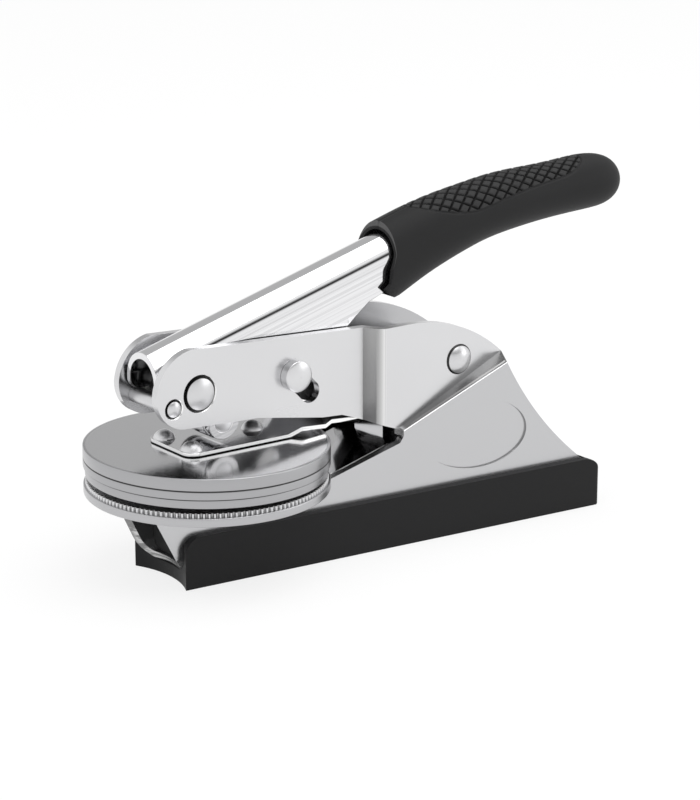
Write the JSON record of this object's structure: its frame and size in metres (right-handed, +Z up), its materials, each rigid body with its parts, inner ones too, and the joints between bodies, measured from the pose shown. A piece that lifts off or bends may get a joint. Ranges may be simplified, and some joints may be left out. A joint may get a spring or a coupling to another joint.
{
  "type": "seal embosser",
  "caption": "Desk seal embosser: a hinged lever with a roller presses a pair of round dies together over a wedge-shaped base.",
  "frame": {"origin": "middle of the base on the surface that it stands on", "axes": "+X to the rear, where the grip points; +Z up; Y across the machine, which is the same on both sides but for the return pin's head and collar"},
  "size_m": [0.1529, 0.057, 0.0833],
  "materials": {
    "base_shoe": "fine matt black moulding",
    "foot_pads": "soft grey-black rubber",
    "base_screws": "zinc-plated screw",
    "frame": "satin nickel-plated sheet",
    "front_block": "black moulding",
    "seat_block": "black moulding",
    "main_pivot_pin": "polished domed end",
    "pivot_washers": "natural nylon",
    "front_stop_pin": "polished",
    "rear_tie_rivet": "polished domed head",
    "rear_tie_tube": "plain tube",
    "lower_leaf": "polished spring strip",
    "lower_disc": "satin turned rim",
    "lower_die": "toothed rim, plain face",
    "lower_disc_rivets": "plain",
    "insert_spacer": "plain",
    "insert_rivets": "domed head",
    "upper_leaf": "polished spring strip",
    "upper_disc": "polished face, satin rim",
    "backing_disc": "satin turned rim",
    "upper_die": "satin turned rim, plain face",
    "upper_disc_rivets": "polished dome",
    "handle_lever": "mirror chrome",
    "handle_grip": "soft matt black moulding with a diamond-cut patch",
    "roller_pin": "polished end",
    "roller": "ground and hardened",
    "return_pin": "polished round head",
    "return_pin_collar": "pressed collar",
    "return_spring": "spring wire"
  },
  "bodies": {
    "base": {"base_shoe": "base_shoe", "foot_pads": "foot_pads", "base_screws": "base_screws", "frame": "frame", "front_block": "front_block", "seat_block": "seat_block", "main_pivot_pin": "main_pivot_pin", "pivot_washers": "pivot_washers", "front_stop_pin": "front_stop_pin", "rear_tie_rivet": "rear_tie_rivet", "rear_tie_tube": "rear_tie_tube", "lower_leaf": "lower_leaf", "lower_disc": "lower_disc", "lower_die": "lower_die", "lower_disc_rivets": "lower_disc_rivets", "insert_spacer": "insert_spacer", "insert_rivets": "insert_rivets"},
    "handle": {"handle_lever": "handle_lever", "handle_grip": "handle_grip", "roller_pin": "roller_pin", "return_spring": "return_spring"},
    "press_roller": {"roller": "roller"},
    "return_slider": {"return_pin": "return_pin", "return_pin_collar": "return_pin_collar"},
    "upper_jaw": {"upper_leaf": "upper_leaf", "upper_disc": "upper_disc", "backing_disc": "backing_disc", "upper_die": "upper_die", "upper_disc_rivets": "upper_disc_rivets"}
  },
  "joints": [
    {"name": "handle_press", "type": "hinge", "parent": "base", "child": "handle", "pos_m": [-0.052, 0, 0.0453], "axis": [0, 1, 0], "range_deg": [0, 9], "stiffness_Nm_per_rad": 0.5, "springref_deg": -20.05, "deforming": ["return_spring"]},
    {"name": "jaw_close", "type": "hinge", "parent": "base", "child": "upper_jaw", "pos_m": [0.007, 0, 0.0256], "axis": [0, -1, 0], "range_deg": [0, 0.825], "stiffness_Nm_per_rad": 2, "springref_deg": -3.44},
    {"name": "return_slide", "type": "slide", "parent": "base", "child": "return_slider", "axis": [0.6959, 0, -0.7181], "range_m": [0, 0.00561]},
    {"name": "roller_spin", "type": "hinge", "parent": "handle", "child": "press_roller", "pos_m": [-0.0438, 0, 0.0366], "axis": [0, 1, 0], "continuous": true}
  ],
  "couplings": [
    {"joint": "jaw_close", "follows": "handle_press", "ratio": 0.091111},
    {"joint": "return_slide", "follows": "handle_press", "m_per_rad": 0.03565}
  ]
}
